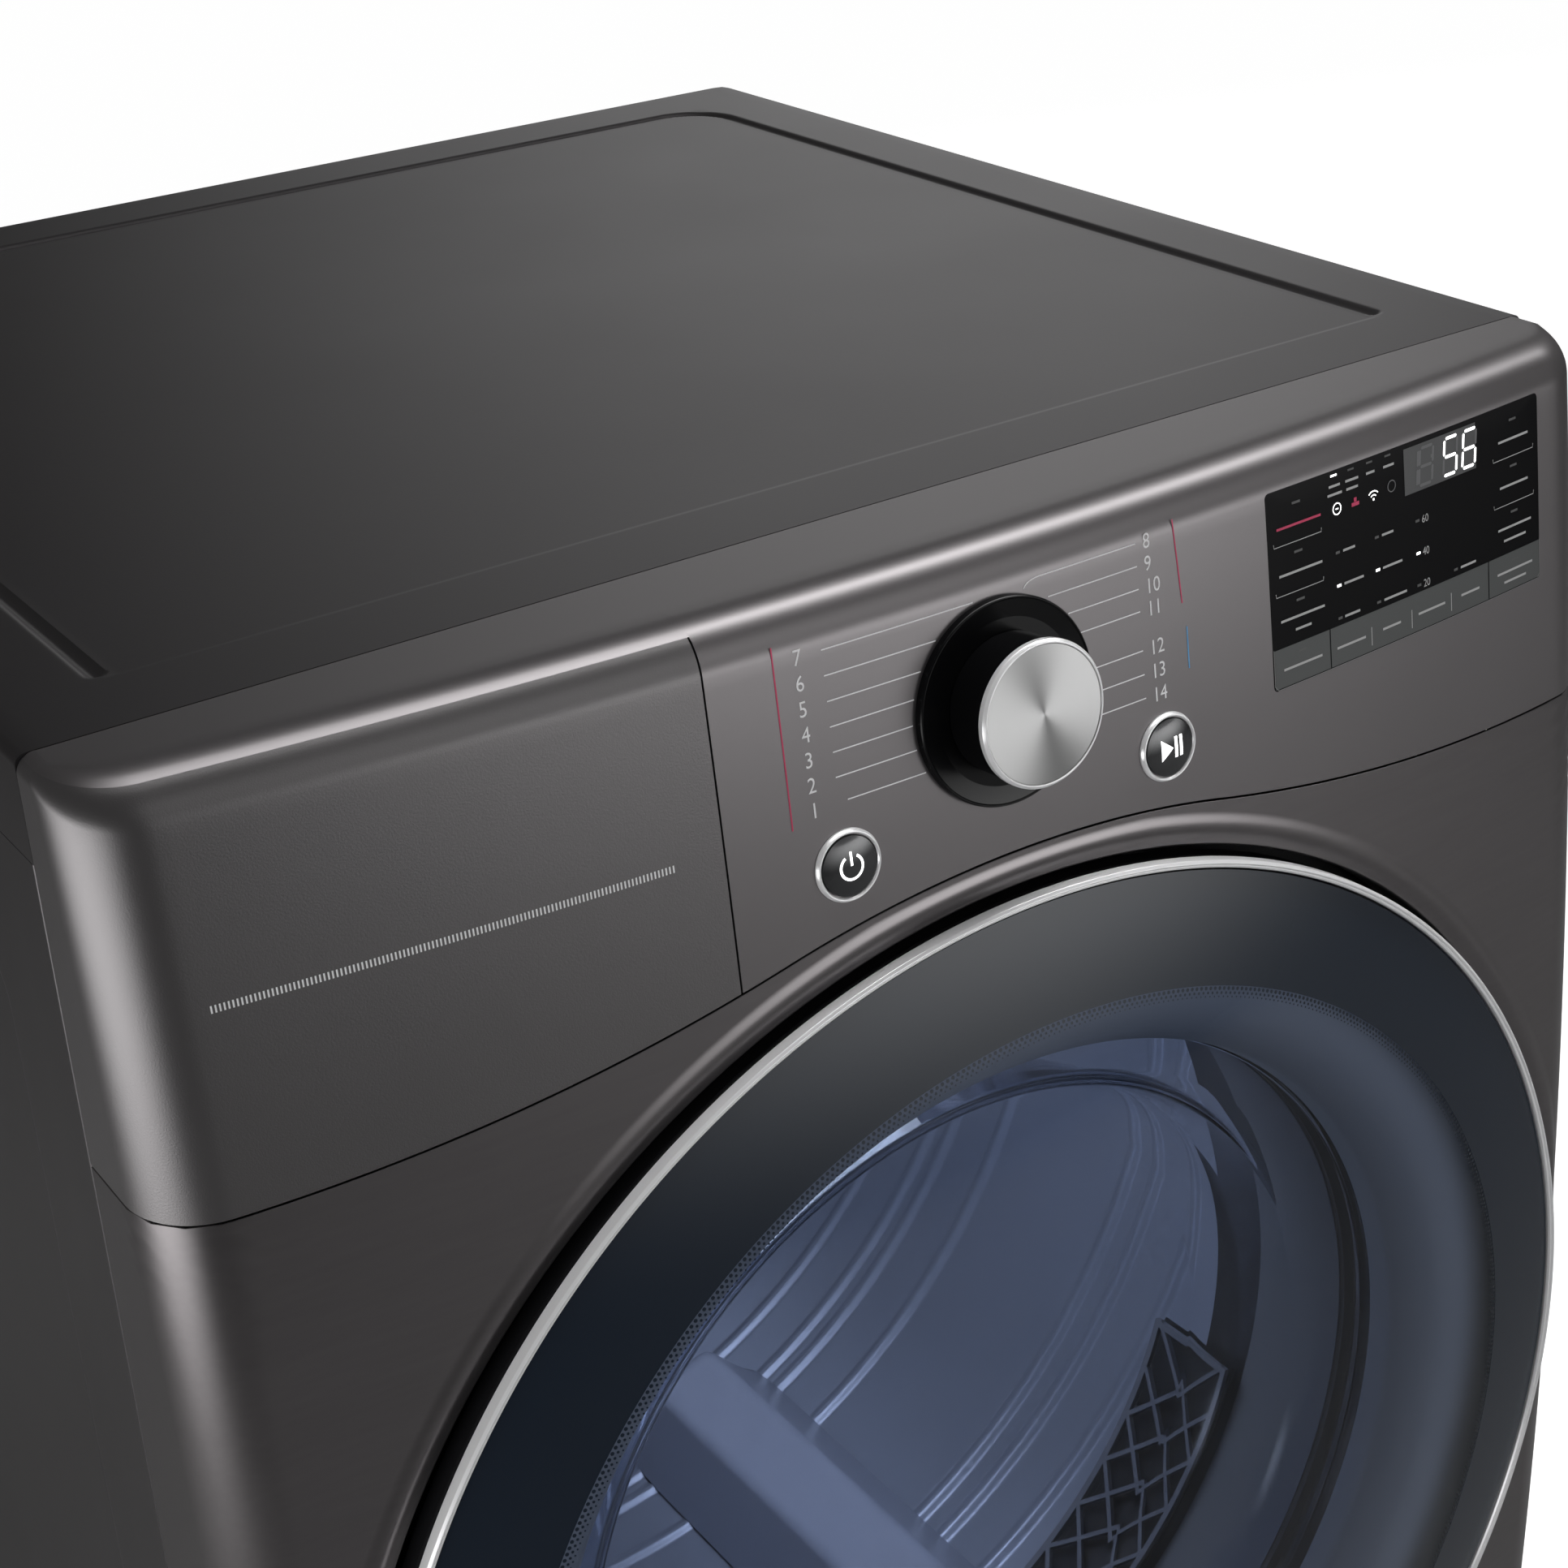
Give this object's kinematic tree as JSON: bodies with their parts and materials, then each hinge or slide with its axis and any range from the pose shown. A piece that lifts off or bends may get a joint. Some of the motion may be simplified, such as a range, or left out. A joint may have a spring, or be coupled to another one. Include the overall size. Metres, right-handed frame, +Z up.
{
  "type": "clothes dryer",
  "caption": "Clothes dryer with a bowed front, a round hinged glass door, a control dial, a belt-driven drum on rollers, a blower, a lift-out lint filter and a rear exhaust collar.",
  "frame": {"origin": "on the floor, under the middle of the whole machine's box", "axes": "+Z up, front and door towards -Y, +X to the right as seen from the front"},
  "size_m": [0.686, 0.765, 0.99],
  "materials": {
    "cabinet_paint": "matte dark graphite enamel",
    "front_finish": "brushed black stainless",
    "console_finish": "satin metallic graphite",
    "cover_finish": "fine grained graphite",
    "zinc_steel": "galvanised",
    "screen_black": "gloss",
    "board_green": "satin",
    "bezel_black": "gloss with bright rim",
    "knob_metal": "bright turned metal",
    "button_dark": "satin",
    "trim_chrome": "polished",
    "moulding_black": "fine texture",
    "frame_black": "gloss",
    "smoked_glass": "tinted, black border",
    "bowl_glass": "clear, lightly tinted",
    "seal_rubber": "matte",
    "felt": "woven felt",
    "drum_enamel": "satin enamel",
    "baffle_grey": "satin",
    "lamp_white": "translucent",
    "filter_grey": "satin with fine mesh",
    "belt_black": "ribbed",
    "roller_rubber": "matte",
    "motor_steel": "satin",
    "shaft_steel": "ground",
    "fan_plastic": "satin",
    "duct_metal": "rolled sheet",
    "spring_steel": "wound wire",
    "coil_metal": "heat-tinted",
    "valve_blue": "satin",
    "block_cream": "satin",
    "foot_black": "matte",
    "screw_zinc": "zinc plated"
  },
  "bodies": {
    "cabinet": {"top_plate": "cabinet_paint", "console_frame": "console_finish", "left_cover_panel": "cover_finish", "front_panel": "front_finish", "left_side_panel": "cabinet_paint", "right_side_panel": "cabinet_paint", "rear_panel": "zinc_steel", "base_pan": "zinc_steel", "display_panel": "screen_black", "control_board": "board_green", "knob_bezel": "bezel_black", "button_rings": "trim_chrome", "door_surround": "moulding_black", "front_bulkhead": "zinc_steel", "drum_light": "lamp_white", "door_latch": "moulding_black", "moisture_sensor": "shaft_steel", "hinge_bracket": "shaft_steel", "lint_duct": "fan_plastic", "outlet_grille": "moulding_black", "drum_felt_seals": "felt", "rear_bulkhead": "zinc_steel", "drive_belt": "belt_black", "motor": "motor_steel", "blower_housing": "fan_plastic", "exhaust_duct": "duct_metal", "idler_spring": "spring_steel", "heater_housing": "duct_metal", "heater_coil": "coil_metal", "rear_air_duct": "duct_metal", "water_valve": "valve_blue", "terminal_block": "block_cream"},
    "door": {"door_trim_ring": "trim_chrome", "door_glass": "smoked_glass", "door_outer_frame": "frame_black", "door_inner_frame": "frame_black", "door_bowl": "bowl_glass", "door_gasket": "seal_rubber", "door_hinge_leaf": "shaft_steel", "hinge_pin": "shaft_steel", "door_striker": "shaft_steel", "door_screws": "screw_zinc"},
    "knob": {"knob": "knob_metal"},
    "power_button": {"power_button": "button_dark"},
    "start_button": {"start_button": "button_dark"},
    "lint_filter": {"lint_filter": "filter_grey"},
    "drum": {"drum_shell": "drum_enamel", "drum_baffles": "baffle_grey"},
    "roller_front_left": {"roller_front_left": "roller_rubber"},
    "roller_front_right": {"roller_front_right": "roller_rubber"},
    "roller_rear_left": {"roller_rear_left": "roller_rubber"},
    "roller_rear_right": {"roller_rear_right": "roller_rubber"},
    "motor_rotor": {"motor_rotor": "shaft_steel", "blower_wheel": "fan_plastic"},
    "idler_arm": {"idler_arm": "shaft_steel"},
    "idler_pulley": {"idler_pulley": "fan_plastic"},
    "foot_front_left": {"foot_front_left": "foot_black"},
    "foot_front_right": {"foot_front_right": "foot_black"},
    "foot_rear_left": {"foot_rear_left": "foot_black"},
    "foot_rear_right": {"foot_rear_right": "foot_black"}
  },
  "joints": [
    {"name": "door_hinge", "type": "hinge", "parent": "cabinet", "child": "door", "pos_m": [0.282, -0.3383, 0.54083], "axis": [0, 0.0314, 0.9995], "range_deg": [0, 110]},
    {"name": "knob_turn", "type": "hinge", "parent": "cabinet", "child": "knob", "pos_m": [0, -0.32136, 0.931], "axis": [0, -0.9927, 0.1202], "continuous": true},
    {"name": "power_button_press", "type": "slide", "parent": "cabinet", "child": "power_button", "axis": [0.0276, 0.9934, -0.111], "range_m": [0, 0.0012], "stiffness_N_per_m": 900, "springref_m": -0.0006},
    {"name": "start_button_press", "type": "slide", "parent": "cabinet", "child": "start_button", "axis": [-0.0283, 0.9934, -0.111], "range_m": [0, 0.0012], "stiffness_N_per_m": 900, "springref_m": -0.0006},
    {"name": "lint_filter_lift", "type": "slide", "parent": "cabinet", "child": "lint_filter", "axis": [0, 0.0314, 0.9995], "range_m": [0, 0.2]},
    {"name": "drum_spin", "type": "hinge", "parent": "cabinet", "child": "drum", "pos_m": [0, 0, 0.56], "axis": [0, 1, 0], "continuous": true},
    {"name": "motor_spin", "type": "hinge", "parent": "cabinet", "child": "motor_rotor", "pos_m": [-0.12, 0, 0.13], "axis": [0, 1, 0], "continuous": true},
    {"name": "roller_front_left_spin", "type": "hinge", "parent": "cabinet", "child": "roller_front_left", "pos_m": [-0.19978, 0, 0.27469], "axis": [0, 1, 0], "continuous": true},
    {"name": "roller_front_right_spin", "type": "hinge", "parent": "cabinet", "child": "roller_front_right", "pos_m": [0.19978, 0, 0.27469], "axis": [0, 1, 0], "continuous": true},
    {"name": "roller_rear_left_spin", "type": "hinge", "parent": "cabinet", "child": "roller_rear_left", "pos_m": [-0.19978, 0, 0.27469], "axis": [0, 1, 0], "continuous": true},
    {"name": "roller_rear_right_spin", "type": "hinge", "parent": "cabinet", "child": "roller_rear_right", "pos_m": [0.19978, 0, 0.27469], "axis": [0, 1, 0], "continuous": true},
    {"name": "idler_arm_swing", "type": "hinge", "parent": "cabinet", "child": "idler_arm", "pos_m": [0.13, 0, 0.12], "axis": [0, -1, 0], "range_deg": [0, 8], "stiffness_Nm_per_rad": 5, "springref_deg": -14.32, "deforming": ["idler_spring"]},
    {"name": "idler_pulley_spin", "type": "hinge", "parent": "idler_arm", "child": "idler_pulley", "pos_m": [0.04643, 0, 0.18375], "axis": [0, 1, 0], "continuous": true},
    {"name": "foot_front_left_level", "type": "slide", "parent": "cabinet", "child": "foot_front_left", "axis": [0, 0, -1], "range_m": [0, 0.02]},
    {"name": "foot_front_right_level", "type": "slide", "parent": "cabinet", "child": "foot_front_right", "axis": [0, 0, -1], "range_m": [0, 0.02]},
    {"name": "foot_rear_left_level", "type": "slide", "parent": "cabinet", "child": "foot_rear_left", "axis": [0, 0, -1], "range_m": [0, 0.02]},
    {"name": "foot_rear_right_level", "type": "slide", "parent": "cabinet", "child": "foot_rear_right", "axis": [0, 0, -1], "range_m": [0, 0.02]}
  ],
  "couplings": [
    {"joint": "motor_spin", "follows": "drum_spin", "ratio": 18.471},
    {"joint": "roller_front_left_spin", "follows": "drum_spin", "ratio": -11.429},
    {"joint": "roller_front_right_spin", "follows": "drum_spin", "ratio": -11.429},
    {"joint": "roller_rear_left_spin", "follows": "drum_spin", "ratio": -11.429},
    {"joint": "roller_rear_right_spin", "follows": "drum_spin", "ratio": -11.429},
    {"joint": "idler_pulley_spin", "follows": "drum_spin", "ratio": -14.659}
  ]
}
